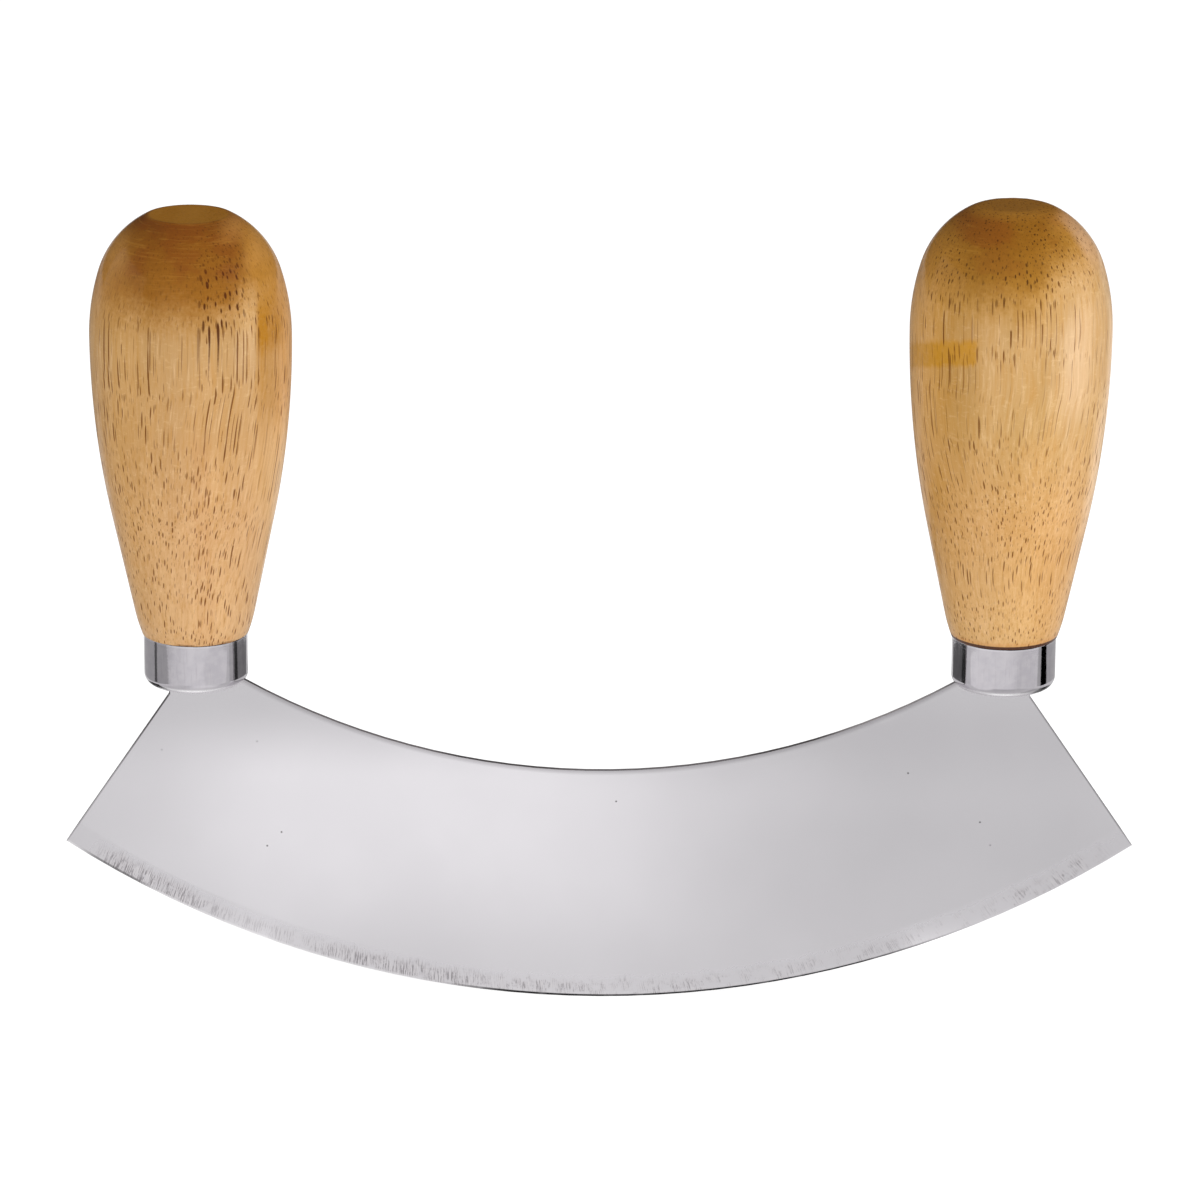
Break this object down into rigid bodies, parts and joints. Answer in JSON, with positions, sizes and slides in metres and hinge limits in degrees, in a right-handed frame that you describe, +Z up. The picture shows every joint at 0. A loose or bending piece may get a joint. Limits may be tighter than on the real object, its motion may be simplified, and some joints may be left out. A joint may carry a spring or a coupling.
{
  "type": "mezzaluna",
  "caption": "Crescent chopping blade of thin stainless plate, ground to a rocking edge, between upright pear-shaped wooden handles seated on short chrome ferrules.",
  "frame": {"origin": "lowest point of the cutting edge, in the middle of the plate's thickness", "axes": "+X along the blade from the left handle to the right, +Y through the plate away from the viewer, +Z up along the handles"},
  "size_m": [0.22, 0.0408, 0.1693],
  "materials": {
    "blade_steel": "satin rolled stainless plate with a finely ground edge band",
    "ferrule_chrome": "bright plated",
    "handle_wood": "pale close-grained wood under satin lacquer"
  },
  "bodies": {
    "root": {"blade": "blade_steel", "left_ferrule": "ferrule_chrome", "right_ferrule": "ferrule_chrome", "left_handle": "handle_wood", "right_handle": "handle_wood"}
  },
  "joints": []
}
